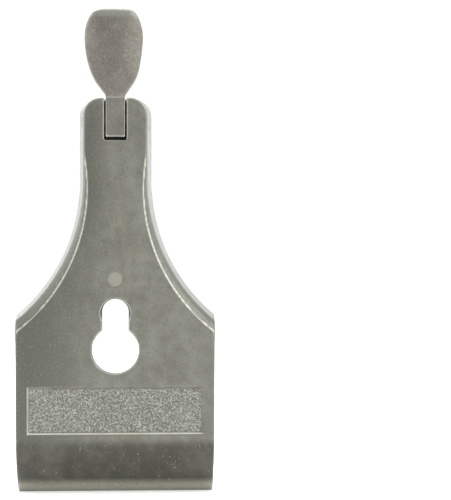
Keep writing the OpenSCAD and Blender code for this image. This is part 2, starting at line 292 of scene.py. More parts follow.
class Recipe:
    """The node tree of one material, made a node at a time."""

    def __init__(self, name: str) -> None:
        """Starts a material with a plain shader and the piece's own coordinates.

        Args:
            name: the material's name.
        """
        self.material = bpy.data.materials.new(name)
        self.material.use_nodes = True
        self.tree = self.material.node_tree
        self.shader = self.tree.nodes["Principled BSDF"]
        texture = self.tree.nodes.new("ShaderNodeTexCoord")
        self.place = texture.outputs["Object"]
        self.facing = texture.outputs["Normal"]

    def put(self, target: Socket, value: object) -> None:
        """Sets an input to a value, or links it to a socket.

        Args:
            target: the input.
            value: a number, a colour, a vector or a socket.
        """
        if isinstance(value, Socket):
            self.tree.links.new(value, target)
        else:
            target.default_value = (*value, 1.0) if target.type == "RGBA" else value

    def node(
        self, kind: str, *values: object, settings: dict | None = None, **inputs: object
    ) -> bpy.types.Node:
        """Adds a node.

        Args:
            kind: Blender's name of the node, without its ShaderNode prefix.
            *values: a value or a socket for each of the first inputs, or None to leave one as it is.
            settings: the node's own settings.
            **inputs: a value or a socket for each named input, with _ for a space.

        Returns:
            The node.
        """
        made = self.tree.nodes.new("ShaderNode" + kind)
        for key, value in (settings or {}).items():
            setattr(made, key, value)
        for target, value in zip(made.inputs, values):
            if value is not None:
                self.put(target, value)
        for key, value in inputs.items():
            self.put(made.inputs[key.replace("_", " ")], value)
        return made

    def mask(self, which: Mask) -> Socket:
        """The share from 0 to 1 that a vertex mask holds."""
        return self.node("Attribute", settings={"attribute_name": which.value}).outputs["Fac"]

    def noise(self, size: float, detail: float, stretch: Place = (1, 1, 1)) -> Socket:
        """Noise from 0 to 1 in lumps of about that size, longer by stretch, with finer layers as detail."""
        place = self.node("Mapping", Vector=self.place, Scale=tuple(1 / s for s in stretch)).outputs[0]
        return self.node("TexNoise", Vector=place, Scale=1 / size, Detail=detail).outputs[0]

    def specks(self, size: float, full: float, end: float) -> Socket:
        """1 on spots about size apart, out to full of size from a spot's centre, and 0 from end on."""
        made = self.node("TexVoronoi", Vector=self.place, Scale=1 / size)
        return self.step(made.outputs["Distance"], end, full)

    def step(self, value: Socket, low: float, high: float) -> Socket:
        """Turns a value smoothly from 0 at low to 1 at high, or back where low is the larger."""
        ends = (low, high, 0, 1) if low < high else (high, low, 1, 0)
        return self.node("MapRange", value, *ends, settings={"interpolation_type": "SMOOTHSTEP"}).outputs[0]

    def band(self, value: Socket, low: float, high: float, soft: float) -> Socket:
        """1 between low and high and 0 outside, with ends that fade by soft to either side."""
        rise = self.step(value, low - soft, low + soft)
        return self.times(rise, self.step(value, high + soft, high - soft))

    def part(self, vector: Socket, axis: int) -> Socket:
        """One coordinate of a vector, 0 for X, 1 for Y and 2 for Z."""
        return self.node("SeparateXYZ", Vector=vector).outputs[axis]

    def vector(self, operation: str, *values: object) -> bpy.types.Node:
        """Adds a node that works out a vector."""
        return self.node("VectorMath", *values, settings={"operation": operation})

    def reach(self, centre: Place) -> Socket:
        """Distance from the line that runs along Y through a centre."""
        flat = self.vector("MULTIPLY", self.vector("SUBTRACT", self.place, centre).outputs[0], (1, 0, 1))
        return self.vector("LENGTH", flat.outputs[0]).outputs["Value"]

    def pair(self, operation: str, a: object, b: object) -> Socket:
        """Works a share from 0 to 1 out of two values."""
        return self.node("Math", a, b, settings={"operation": operation, "use_clamp": True}).outputs[0]

    def times(self, *shares: object) -> object:
        """The product of shares, each a number or a socket."""
        return reduce(lambda a, b: self.pair("MULTIPLY", a, b), shares)

    def mix(self, share: object, a: object, b: object) -> Socket:
        """Mixes colour a with colour b, by the share of b."""
        other_kinds = (None,) * 5
        return self.node("Mix", share, *other_kinds, a, b, settings={"data_type": "RGBA"}).outputs[2]

    def lay(self, under: object, over: object, *shares: object) -> Socket:
        """Lays one colour over another, by the product of shares."""
        return self.mix(self.times(*shares), under, over)

    def level(self, share: object, a: float, b: float) -> Socket:
        """Mixes number a with number b, by the share of b."""
        return self.node("Mix", Factor=share, A=a, B=b).outputs[0]

    def bump(self, height: Socket, depth: float, strength: float) -> Socket:
        """The normal with bumps whose height is 0 to 1 of depth, by strength."""
        return self.node("Bump", Height=height, Distance=depth, Strength=strength).outputs[0]

    def finish(self, **inputs: object) -> bpy.types.Material:
        """Sets the shader's inputs.

        Args:
            **inputs: a value or a socket for each named input, with _ for a space.

        Returns:
            The finished material.
        """
        for key, value in inputs.items():
            self.put(self.shader.inputs[key.replace("_", " ")], value)
        return self.material

    def metal(self, colour: Socket, share: float, rough: Socket, bumps: Socket) -> bpy.types.Material:
        """Sets the shader to a metal."""
        return self.finish(Base_Color=colour, Metallic=share, Roughness=rough, Normal=bumps)


@dataclass(frozen=True)
class CapIron:
    """Cast iron of the cap: ground and worn in front, as cast behind, rusty in the keyhole's recess, with
    painted light and shade.
    """

    name: str = "cap_iron"
    ground_dark: Colour = (0.142, 0.139, 0.119)
    ground_light: Colour = (0.225, 0.227, 0.198)
    # dark of the painted shade on the face, also of its fine grain and of the land's lines and pores
    shade_and_grain_dark: Colour = (0.104, 0.106, 0.090)
    olive: Colour = (0.215, 0.220, 0.160)
    brown: Colour = (0.185, 0.168, 0.140)
    cast_dark: Colour = (0.122, 0.122, 0.106)
    cast_light: Colour = (0.232, 0.235, 0.206)
    floor_dark: Colour = (0.168, 0.163, 0.134)
    floor_light: Colour = (0.328, 0.323, 0.280)
    land: Colour = (0.315, 0.312, 0.262)
    # colour of the painted shade in corners and recesses
    deep_shade: Colour = (0.050, 0.048, 0.037)
    # dark of the painted shade on the nose, also of the worn ring round the cap screw's seat
    nose: Colour = (0.062, 0.061, 0.050)
    # painted reflection on the nose's lowest strip
    lip: Colour = (0.330, 0.330, 0.275)
    pebble_dark: Colour = (0.135, 0.135, 0.118)
    pebble_light: Colour = (0.395, 0.400, 0.360)
    # colours of the painted reflection on the flanks
    flank_dull: Colour = (0.455, 0.464, 0.444)
    flank: Colour = (0.525, 0.535, 0.512)
    rust: Colour = (0.200, 0.150, 0.092)
    # bright wear marks, and painted highlights and glints
    bright: Colour = (0.760, 0.760, 0.680)
    metal: float = 0.85
    ground_rough: float = 0.40
    cast_rough: float = 0.58
    pit_depth: float = 0.05 * MM
    cloud_size: float = 11 * MM
    stain_size: float = 7 * MM
    stroke_patch: float = 5 * MM
    rust_patch: float = 3.2 * MM
    smudge_size: float = 2.6 * MM
    mark_spacing: float = 1.5 * MM
    pore_spacing: float = 1.3 * MM
    glint_spacing: float = 0.7 * MM
    worm_size: float = 0.7 * MM
    grain_size: float = 0.55 * MM
    stroke_size: float = 0.4 * MM
    stroke_stretch: Place = (1, 1, 14)
    sparkle_size: float = 0.31 * MM
    fine_size: float = 0.3 * MM
    line_size: float = 0.28 * MM
    line_stretch: Place = (22, 1, 1)
    ring_dark: tuple[float, float, float] = (3.30 * MM, 3.72 * MM, 0.08 * MM)
    ring_light: tuple[float, float, float] = (3.86 * MM, 4.02 * MM, 0.07 * MM)
    ring_depth: Span = (0.6 * MM, 0.4 * MM)
    seat: Place = (0, 0, -0.4 * MM)

    def material(self) -> bpy.types.Material:
        """Makes the material.

        Returns:
            The material.
        """
        r = Recipe(self.name)
        smudges = r.noise(self.smudge_size, 5)
        grains = r.noise(self.grain_size, 3)
        ground = r.mask(Mask.GROUND)
        colour = r.mix(ground, self.cast(r, smudges), self.ground(r, smudges, grains))
        # painted reflection: the flanks pale where they turn sideways, as if reflecting a white surround
        flank = r.mix(r.step(smudges, 0.2, 0.8), self.flank_dull, self.flank)
        colour = r.lay(colour, flank, r.mask(Mask.FLANK_REFLECTION))
        # bright edges: wear on the arris and rims with painted highlights, and the panel's bottom and left
        # walls lit as painted light
        colour = r.lay(colour, self.bright, r.mask(Mask.WEAR_AND_HIGHLIGHT))
        patches = r.step(r.noise(self.rust_patch, 5), 0.12, 0.55)
        colour = r.lay(colour, self.rust, r.mask(Mask.RUST), patches, 0.85)
        rough = r.level(ground, self.cast_rough, self.ground_rough)
        return r.metal(colour, self.metal, rough, r.bump(grains, self.pit_depth, 0.5))

    def ground(self, r: Recipe, smudges: Socket, grains: Socket) -> Socket:
        """Colour of the ground face, with its nose and land.

        Args:
            r: the recipe that the nodes go into.
            smudges: noise a few millimetres wide.
            grains: finer noise.

        Returns:
            The colour.
        """
        tone = r.pair("ADD", r.times(r.noise(self.cloud_size, 4), 0.6), r.times(smudges, 0.4))
        colour = r.mix(r.step(tone, 0.3, 0.7), self.ground_dark, self.ground_light)
        colour = r.lay(colour, self.brown, r.step(r.noise(self.stain_size, 4), 0.45, 0.65), 0.5)
        # painted shade: the left and lower parts of the face and the bevel beside the arris darker
        colour = r.lay(colour, self.shade_and_grain_dark, r.mask(Mask.SHADE_GLINT_AND_RUB))
        # an olive tint on a patch mid-neck
        colour = r.lay(colour, self.olive, r.step(smudges, 0.5, 0.75), r.mask(Mask.TINT_AND_SHEEN))
        # the nose takes painted shade, and its lip a painted reflection
        nose = r.mask(Mask.NOSE_SHADE)
        colour = r.lay(colour, self.rolled_nose(r, tone, smudges), nose)
        fine = r.noise(self.fine_size, 2)
        plain = r.level(nose, 0.38, 0.1)
        colour = r.lay(colour, self.cast_light, r.step(grains, 0.5, 0.75), plain)
        colour = r.lay(colour, self.shade_and_grain_dark, r.step(grains, 0.48, 0.25), 0.65)
        colour = r.lay(colour, self.shade_and_grain_dark, r.step(fine, 0.5, 0.2), 0.5)
        colour = r.lay(colour, self.floor_dark, r.step(fine, 0.5, 0.8), plain)
        backward = r.step(r.part(r.facing, 1), 0.3, 0.6)
        colour = r.lay(colour, self.machined_land(r, smudges), backward)
        reach = r.reach(self.seat)
        near = r.step(r.part(r.place, 1), *self.ring_depth)
        colour = r.lay(colour, self.nose, r.band(reach, *self.ring_dark), near, 0.6)
        return r.lay(colour, self.bright, r.band(reach, *self.ring_light), near, 0.3)

    def rolled_nose(self, r: Recipe, tone: Socket, smudges: Socket) -> Socket:
        """Colour of the nose, darkened as painted shade, with its lip lightened as a painted reflection,
        and bright marks and strokes.

        Args:
            r: the recipe that the nodes go into.
            tone: the ground face's light and dark.
            smudges: noise a few millimetres wide.

        Returns:
            The colour.
        """
        colour = r.lay(self.nose, self.ground_dark, r.step(tone, 0.42, 0.7), 0.5)
        # painted reflection: the lighter strip along the nose's bottom edge
        colour = r.lay(colour, self.lip, r.mask(Mask.LIP_HIGHLIGHT))
        marks = r.specks(self.mark_spacing, 0.04, 0.13)
        colour = r.lay(colour, self.bright, marks, r.step(smudges, 0.45, 0.6), 0.5)
        strokes = r.step(r.noise(self.stroke_size, 2, self.stroke_stretch), 0.62, 0.72)
        patches = r.step(r.noise(self.stroke_patch, 2), 0.5, 0.62)
        return r.lay(colour, self.ground_light, strokes, patches, 0.5)

    def machined_land(self, r: Recipe, smudges: Socket) -> Socket:
        """Colour of the machined land behind the nose.

        Args:
            r: the recipe that the nodes go into.
            smudges: noise a few millimetres wide.

        Returns:
            The colour.
        """
        lines = r.noise(self.line_size, 3, self.line_stretch)
        colour = r.mix(r.step(lines, 0.25, 0.65), self.ground_light, self.land)
        colour = r.lay(colour, self.shade_and_grain_dark, r.step(lines, 0.58, 0.72), 0.5)
        pores = r.specks(self.pore_spacing, 0.05, 0.2)
        return r.lay(colour, self.shade_and_grain_dark, pores, r.step(smudges, 0.4, 0.6))

    def cast(self, r: Recipe, smudges: Socket) -> Socket:
        """Colour of the surfaces left as cast, with the panel's pebbled ground.

        Args:
            r: the recipe that the nodes go into.
            smudges: noise a few millimetres wide.

        Returns:
            The colour.
        """
        sparkle = r.noise(self.sparkle_size, 2)
        floor = r.mask(Mask.FLOOR)
        dark = r.mix(floor, self.cast_dark, self.floor_dark)
        light = r.mix(floor, self.cast_light, self.floor_light)
        colour = r.mix(r.step(sparkle, 0.24, 0.76), dark, light)
        # painted glints: small bright specks on the cast surfaces
        glints = r.specks(self.glint_spacing, 0.08, 0.24)
        colour = r.lay(colour, self.bright, glints, r.step(smudges, 0.42, 0.6), 0.55)
        # painted shade in the hollow's corners, the slot and the panel's top and right walls
        colour = r.lay(colour, self.deep_shade, r.mask(Mask.DEEP_SHADE))
        worms = r.band(r.noise(self.worm_size, 2), 0.46, 0.54, 0.04)
        worms = r.times(worms, r.step(r.mask(Mask.PEBBLE), -0.4, 0.6))
        pebble = r.mix(worms, self.pebble_dark, self.pebble_light)
        pebble = r.lay(pebble, self.pebble_light, r.step(sparkle, 0.45, 0.7), 0.35)
        return r.lay(colour, pebble, r.mask(Mask.PANEL))


@dataclass(frozen=True)
class LeverIron:
    """Tumbled malleable iron of the lever, smooth and brownish in front, grainy blue-grey behind, with
    painted highlights, sheen, glints and shade.
    """

    name: str = "lever_iron"
    dark: Colour = (0.143, 0.130, 0.111)
    light: Colour = (0.178, 0.165, 0.144)
    # painted highlight on the tip's front, also light specks in front
    green_highlight_and_speck: Colour = (0.250, 0.265, 0.235)
    back: Colour = (0.074, 0.076, 0.073)
    # painted sheen behind, also light specks in the iron
    sheen: Colour = (0.290, 0.293, 0.287)
    bright: Colour = (0.720, 0.720, 0.680)
    # colour of the painted shade, also the dark of fine specks in front
    deep_shade: Colour = (0.050, 0.046, 0.040)
    metal: float = 0.85
    back_rough: float = 0.40
    front_rough: float = 0.46
    pit_depth: float = 0.04 * MM
    cloud_size: float = 6 * MM
    dust_size: float = 0.5 * MM
    glint_spacing: float = 0.45 * MM
    fine_size: float = 0.3 * MM

    def material(self) -> bpy.types.Material:
        """Makes the material.

        Returns:
            The material.
        """
        r = Recipe(self.name)
        dust = r.noise(self.dust_size, 3)
        fine = r.noise(self.fine_size, 2)
        dusty = r.step(dust, 0.5, 0.8)
        front = r.mix(r.step(r.noise(self.cloud_size, 4), 0.3, 0.7), self.dark, self.light)
        # painted highlight on the front of the tip
        front = r.lay(front, self.green_highlight_and_speck, r.mask(Mask.LIP_HIGHLIGHT))
        front = r.lay(front, self.bright, dusty, 0.14)
        # fine dark specks in the iron, in the painted shade's colour
        front = r.lay(front, self.deep_shade, r.step(fine, 0.5, 0.2), 0.5)
        front = r.lay(front, self.green_highlight_and_speck, r.step(fine, 0.5, 0.8), 0.4)
        # painted sheen: the lower back lighter, most on one side
        back = r.lay(self.back, self.sheen, r.mask(Mask.TINT_AND_SHEEN))
        back = r.lay(back, self.bright, dusty, 0.12)
        glints = r.specks(self.glint_spacing, 0.1, 0.34)
        # painted glints along the ridge
        back = r.lay(back, self.bright, glints, r.mask(Mask.SHADE_GLINT_AND_RUB), 0.6)
        # light specks in the iron, in the sheen's colour
        back = r.lay(back, self.sheen, r.step(fine, 0.5, 0.75), 0.16)
        ground = r.mask(Mask.GROUND)
        colour = r.lay(back, front, ground)
        # bright edges: wear with painted highlights, and painted glints on the ridge and tip
        colour = r.lay(colour, self.bright, r.mask(Mask.WEAR_AND_HIGHLIGHT))
        # painted shade in corners, under the foot and behind the tip
        colour = r.lay(colour, self.deep_shade, r.mask(Mask.DEEP_SHADE))
        rough = r.level(ground, self.back_rough, self.front_rough)
        return r.metal(colour, self.metal, rough, r.bump(dust, self.pit_depth, 0.3))


@dataclass(frozen=True)
class SpringSteel:
    """Bright flat steel, finely pitted, with rust at the corners and round the rivet, and painted shade on
    its edges and round the rivet's head.
    """

    name: str = "spring_steel"
    dull: Colour = (0.335, 0.338, 0.318)
    bright: Colour = (0.415, 0.418, 0.398)
    # lighter tone towards the top end
    lighter_top: Colour = (0.500, 0.500, 0.470)
    # dark of the painted shade on the edges and round the rivet's head
    edge: Colour = (0.062, 0.052, 0.044)
    pit: Colour = (0.16, 0.145, 0.11)
    rust: Colour = (0.23, 0.205, 0.145)
    rubbed: Colour = (0.24, 0.235, 0.215)
    metal: float = 0.95
    rough: Span = (0.34, 0.44)
    pit_depth: float = 0.015 * MM
    cloud_size: float = 8 * MM
    pit_patch: float = 5 * MM
    freckle_patch: float = 4 * MM
    patch_size: float = 1.5 * MM
    pit_spacing: float = 1 * MM
    fine_size: float = 0.5 * MM
    scuff_size: float = 0.35 * MM
    scuff_stretch: Place = (1, 1, 2.5)

    def material(self) -> bpy.types.Material:
        """Makes the material.

        Returns:
            The material.
        """
        r = Recipe(self.name)
        clouds = r.noise(self.cloud_size, 4)
        fine = r.noise(self.fine_size, 3)
        patches = r.noise(self.patch_size, 5)
        colour = r.mix(r.step(clouds, 0.3, 0.7), self.dull, self.bright)
        # lighter towards the top end
        colour = r.lay(colour, self.lighter_top, r.mask(Mask.TINT_AND_SHEEN))
        colour = r.lay(colour, self.rubbed, r.step(fine, 0.52, 0.3), 0.35)
        rusty = r.pair("ADD", patches, r.times(r.mask(Mask.RUST), 0.2))
        colour = r.lay(colour, self.rust, r.step(rusty, 0.58, 0.8), 0.8)
        freckled = r.step(r.noise(self.freckle_patch, 3), 0.48, 0.62)
        colour = r.lay(colour, self.rust, r.step(fine, 0.53, 0.64), freckled, 0.4)
        scuffs = r.noise(self.scuff_size, 3, self.scuff_stretch)
        colour = r.lay(colour, self.rubbed, r.step(scuffs, 0.55, 0.7), 0.3)
        pits = r.specks(self.pit_spacing, 0.1, 0.26)
        pitted = r.step(r.noise(self.pit_patch, 3), 0.47, 0.62)
        colour = r.lay(colour, self.pit, pits, pitted, 0.65)
        colour = r.lay(colour, self.rubbed, r.mask(Mask.SHADE_GLINT_AND_RUB), r.step(patches, 0.3, 0.6))
        # painted shade on the edges and round the rivet's head
        colour = r.lay(colour, self.edge, r.mask(Mask.DEEP_SHADE))
        return r.metal(colour, self.metal, r.level(clouds, *self.rough), r.bump(fine, self.pit_depth, 0.3))


@dataclass(frozen=True)
class RivetSteel:
    """Steel of the rivet and the cross pin, faced flat and a little pitted, duller towards the front."""

    name: str
    tone: Colour
    worn: Colour
    front: Colour
    pit: Colour = (0.10, 0.08, 0.06)
    dimmed: float = 0.86
    metal: float = 0.9
    rough: Span = (0.36, 0.46)
    pit_depth: float = 0.02 * MM
    cloud_size: float = 2.5 * MM
    pit_spacing: float = 0.9 * MM
    fine_size: float = 0.4 * MM

    def material(self) -> bpy.types.Material:
        """Makes the material.

        Returns:
            The material.
        """
        r = Recipe(self.name)
        clouds = r.noise(self.cloud_size, 4)
        cloudy = r.step(clouds, 0.3, 0.7)
        colour = r.mix(cloudy, self.worn, self.tone)
        colour = r.lay(colour, self.pit, r.specks(self.pit_spacing, 0.06, 0.15), 0.5)
        front = r.mix(cloudy, tuple(c * self.dimmed for c in self.front), self.front)
        colour = r.lay(colour, front, r.step(r.part(r.facing, 1), -0.4, -0.8))
        bumps = r.bump(r.noise(self.fine_size, 3), self.pit_depth, 0.3)
        return r.metal(colour, self.metal, r.level(clouds, *self.rough), bumps)


@dataclass
class Casting:
    """The cap's iron casting. A span holds the places where something begins and is complete."""

    node: str = "lever_cap_casting"
    skin: Skin = field(init=False)
    voxel: float = 0.25 * MM
    triangles: int = 196_000
    finish: CapIron = CapIron()
    face_skin: float = 0.5 * MM
    panel_half: float = 21.85 * MM
    panel_low: float = -30.4 * MM
    panel_top: float = -18.95 * MM
    panel_depth: float = 0.5 * MM
    panel_inset: float = 0.3 * MM
    panel_wall: float = 0.24 * MM
    nose_edge: float = -31.5 * MM
    lip_edge: float = -42.2 * MM
    land_edge: float = -42.3 * MM
    land_start: Span = (-41.9 * MM, -42.4 * MM)
    land_depth: Span = (9.2 * MM, 9.6 * MM)
    land_clear: float = 1.5 * MM
    shoulder: float = -0.8 * MM
    flare_start: Span = (-5.8 * MM, -5.3 * MM)
    body_wall: float = 24.5 * MM
    body_side: float = 24.85 * MM
    arris_clear: float = 5 * MM
    hole_height: float = -9.5 * MM
    recess_radius: float = 9.0 * MM
    boss_rim: Span = (2.6 * MM, 1.8 * MM)
    rust_front: Span = (1.5 * MM, 3.2 * MM)
    rust_back: Span = (8.9 * MM, 7.5 * MM)
    way_half: float = 5.2 * MM
    way_top: float = 3 * MM
    stain_height: float = -23.5 * MM
    stain_size: Span = (6 * MM, 3 * MM)
    olive_patch_height: float = 17 * MM
    olive_patch_size: Span = (3 * MM, 8 * MM)
    hollow_side: Span = (22 * MM, 21.5 * MM)
    hollow_top: Span = (-1 * MM, -3 * MM)
    cusp_side: float = 11.8 * MM
    cusp_height: float = -1.4 * MM
    cusp_size: float = 2.6 * MM
    step_size: float = 0.7 * MM
    pocket_half: float = 8.8 * MM
    pocket_end: float = 1.6 * MM
    pocket_floor: float = 8.0 * MM
    pocket_fall: float = 0.7 * MM
    pocket_wall: float = 8.7 * MM
    pocket_start: float = 1.5 * MM
    pocket_depth: Span = (8.8 * MM, 8 * MM)
    pocket_front: float = 6 * MM
    rivet_height: float = 8.2 * MM
    hole_gap: float = 0.13 * MM
    hole_reach: Span = (2.5 * MM, 2.0 * MM)
    hole_depth: Span = (1.2 * MM, 0.8 * MM)
    slot_gap: float = 0.09 * MM
    slot_reach: Span = (3.4 * MM, 2.7 * MM)
    slot_depth: Span = (2.5 * MM, 1.5 * MM)
    slot_start: Span = (41.8 * MM, 42.6 * MM)
    slot_half: float = 3.6 * MM
    slot_mouth: float = 41 * MM
    slot_inside: float = 42 * MM
    lump_size: Span = (1.1 * MM, 0.55 * MM)
    lump_depth: float = 0.035 * MM
    wave_size: float = 7 * MM
    wave_depth: float = 0.03 * MM
    pebble_size: float = 0.75 * MM
    pebble_depth: float = 0.14 * MM

    def build(self) -> bpy.types.Object:
        """Makes the casting from the CAD form, softened and textured.

        Returns:
            The piece, dressed and riding on its body.
        """
        piece = even_copy(self.node, "cap_casting", self.voxel)
        self.skin = Skin(piece.data)
        self.widen_pocket()
        self.close_hole()
        self.close_slot()
        self.skin.soften(3, 0.5)
        self.fillet()
        masks = self.masks()
        self.texture(masks)
        for mask, values in masks.items():
            self.skin.keep(mask, values)
        self.skin.write()
        lighten(piece, self.triangles)
        piece.data.materials.append(self.finish.material())
        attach(piece, Body.CAP.value)
        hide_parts(self.node)
        return piece

    def widen_pocket(self) -> None:
        """Sinks the web just below the spring, where the pocket reaches past the spring's end."""
        x, y, z = self.skin.points.T
        end = self.pocket_end
        depth = self.pocket_floor - self.pocket_fall * ease(z, end, end + 1 * MM)
        inside = (np.abs(x) < self.pocket_half) & (z > end) & (z < end + 2 * MM)
        y[:] = np.where(inside, np.minimum(y, depth), y)

    def close_hole(self) -> None:
        """Draws the rivet's hole in at the front, where the rivet's end was spread flush."""
        x, y, z = self.skin.points.T
        up = z - self.rivet_height
        centre = np.hypot(x, up)
        near = ease(centre, *self.hole_reach) * ease(y, *self.hole_depth)
        draw = self.hole_gap * near / np.maximum(centre, 1 * MM)
        x -= x * draw
        z -= up * draw

    def close_slot(self) -> None:
        """Draws the slot's walls in at the front, closer to the lever."""
        x, y, z = self.skin.points.T
        wall = ease(np.abs(x), *self.slot_reach) * ease(z, *self.slot_start) * ease(y, *self.slot_depth)
        x -= np.sign(x) * wall * self.slot_gap

    def fillet(self) -> None:
        """Rounds the hollow's corners, the cusps of its troughs and the step at the land."""
        x, y, z = self.skin.points.T
        hollow = ease(y, 3.8 * MM, 4.4 * MM) * ease(y, 9.4 * MM, 8.8 * MM) * ease(z, -2 * MM, -3 * MM)
        corner = ease(-self.skin.relief(12), 0.01 * MM, 0.06 * MM)
        self.skin.soften(30, self.skin.blurred(corner * hollow, 4) * 0.5)
        beside = (np.abs(x) - self.cusp_side) / self.cusp_size
        cusp = hill(beside, (z - self.cusp_height) / self.cusp_size)
        self.skin.soften(170, cusp * ease(y, 3.6 * MM, 4.6 * MM) * ease(y, 9.9 * MM, 9.2 * MM) * 0.5)
        step = hill((z - self.land_edge) / self.step_size)
        self.skin.soften(30, step * ease(y, 8.4 * MM, 9 * MM) * 0.5)

    def masks(self) -> dict[Mask, np.ndarray]:
        """Works out where the casting was ground, worn and rusted, and where light and shade are painted on
        it.

        Returns:
            One share a point for each mask.
        """
        x, y, z = self.skin.points.T
        facing = ease(self.skin.front(), 0.2, 0.6)
        inset = self.panel_inset
        panel = (np.abs(x) < self.panel_half - inset) & (y > self.panel_depth / 2)
        panel &= (z > self.panel_low + inset) & (z < self.panel_top - inset)
        panel &= y < self.panel_depth + 0.2 * MM
        pocket = (np.abs(x) < self.pocket_wall) * (z > self.pocket_start)
        pocket = pocket * ease(y, *self.pocket_depth) * (y > self.pocket_front)
        land = ease(z, *self.land_start) * ease(y, *self.land_depth)
        wall = ease(np.abs(self.skin.normals()[:, 0]), 0.8, 0.95)
        wall *= (np.abs(x) > self.body_wall) * (z < self.shoulder)
        # a patch mid-neck that takes an olive tint
        olive_patch = hill(x / self.olive_patch_size[0], (z - self.olive_patch_height) / self.olive_patch_size[1])
        return {
            Mask.GROUND: np.maximum.reduce([facing * (1 - panel), land, self.skin.blurred(wall, 2)]),
            Mask.PANEL: panel.astype(float),
            Mask.WEAR_AND_HIGHLIGHT: self.worn(),
            Mask.DEEP_SHADE: self.deep_shade(pocket),
            Mask.RUST: self.rusted(pocket),
            # painted shade on the nose and painted reflection on its lip
            Mask.NOSE_SHADE: ease(z, self.nose_edge + 0.5 * MM, self.nose_edge - 2.5 * MM) * facing,
            Mask.LIP_HIGHLIGHT: ease(z, self.lip_edge + 0.5 * MM, self.lip_edge - 2.2 * MM),
            **self.sides(wall),
            Mask.FLOOR: self.floor(pocket),
            Mask.TINT_AND_SHEEN: olive_patch * facing,
        }

    def worn(self) -> np.ndarray:
        """Finds the bright edges, worn and with painted highlights: the face's arris, the openings' rims,
        the rear rims and two of the panel's walls, the last lit as painted light.

        Returns:
            One share a point.
        """
        x, y, z = self.skin.points.T
        front = self.skin.front()
        ridge = self.skin.relief(3)
        turn = ease(front, 0.945, 0.995)
        face = y < self.face_skin
        arris = 4 * turn * (1 - turn) * ease(z, *self.flare_start) * face * (np.abs(x) > self.arris_clear)
        arris = np.clip(self.skin.blurred(arris, 1) * 1.7, 0, 1)
        opening = np.hypot(x, z - self.hole_height) < self.recess_radius
        opening |= (np.abs(x) < self.slot_half) & (z > self.slot_mouth)
        lit = ease(ridge, 0.01 * MM, 0.04 * MM) * face * opening
        rear = ease(ridge, 0.015 * MM, 0.05 * MM) * ease(y, 8.4 * MM, 8.9 * MM) * ease(-front, 0.3, 0.7)
        rear *= z > self.land_edge + self.land_clear
        # the arris and rims are wear with painted highlight; the panel's bottom and left walls are painted
        # light
        return arris * 0.85 + self.rim(Vector((-1, 0, -1))) * 0.35 + rear * 0.3 + lit * 0.3

    def deep_shade(self, pocket: np.ndarray) -> np.ndarray:
        """Finds the painted shade in the hollow's corners, in the slot and on the panel's other two walls,
        the top and the right one.

        Args:
            pocket: share of the spring's pocket, which stays light.

        Returns:
            One share a point.
        """
        x, y, z = self.skin.points.T
        corner = ease(-self.skin.blurred(self.skin.relief(60), 6), 0.02 * MM, 0.19 * MM)
        corner *= (1 - pocket) * (0.95 - 0.35 * ease(z, -7 * MM, -3 * MM))
        slot = (np.abs(x) < self.slot_half) & (z > self.slot_inside) & (y > 0.35 * MM)
        slot &= self.skin.front() < 0.5
        return np.maximum.reduce([corner, self.rim(Vector((1, 0, 1))) * 0.8, slot * 0.7])

    def rusted(self, pocket: np.ndarray) -> np.ndarray:
        """Finds the rust in the keyhole's recess, in the pocket and in a stain below the boss.

        Args:
            pocket: share of the spring's pocket.

        Returns:
            One share a point.
        """
        x, y, z = self.skin.points.T
        centre = np.hypot(x, z - self.hole_height)
        recess = ease(centre, self.recess_radius + 0.4 * MM, self.recess_radius - 0.1 * MM)
        way = (np.abs(x) < self.way_half) * (z > self.hole_height) * (z < self.way_top)
        recess = np.maximum(recess, way) * ease(y, *self.rust_front) * ease(y, *self.rust_back)
        stain = hill(x / self.stain_size[0], (z - self.stain_height) / self.stain_size[1])
        recess *= 0.45 + 0.55 * ease(x, -4 * MM, 4 * MM)
        return np.maximum.reduce([recess, pocket * 0.5, stain * (y > 3 * MM) * 0.4])

    def sides(self, wall: np.ndarray) -> dict[Mask, np.ndarray]:
        """Finds the ground flanks, lightened as a painted reflection, and the painted shade in the bevel
        beside them, over the left half of the face and over its lower part.

        Args:
            wall: share of the body's side walls.

        Returns:
            One share a point for the flank's painted reflection and for the painted shade.
        """
        x, _, z = self.skin.points.T
        front = self.skin.front()
        outward = self.skin.normals()[:, 0] * x > 0
        outside = outward & ((z > self.shoulder) | (np.abs(x) < self.body_side))
        outside = outside * ease(z, *self.flare_start)
        # painted reflection, growing as the flank turns sideways
        flank = ease(front, 0.80, 0.25) * ease(front, -0.5, -0.1) * outside
        flank *= 0.78 + 0.22 * ease(z, 0, 20 * MM)
        # painted shade: a dark band where the face turns into the flank
        bevel = ease(front, 0.985, 0.94) * ease(front, 0.2, 0.5) * outside
        bevel *= 0.75 - 0.3 * ease(z, 14 * MM, 30 * MM)
        half = 8 * MM + 17 * MM * ease(z, 27 * MM, -2 * MM)
        # painted shade: the left half of the face darker, away from the light, and its lower part a little
        # darker
        left = 0.9 * ease(x / half, 0.05, -0.95) + 0.12 * ease(z, 12 * MM, 0)
        return {
            Mask.FLANK_REFLECTION: self.skin.blurred(np.maximum(flank, wall * 0.22), 16),
            Mask.SHADE_GLINT_AND_RUB: np.maximum(left * ease(front, 0.9, 0.97), bevel),
        }

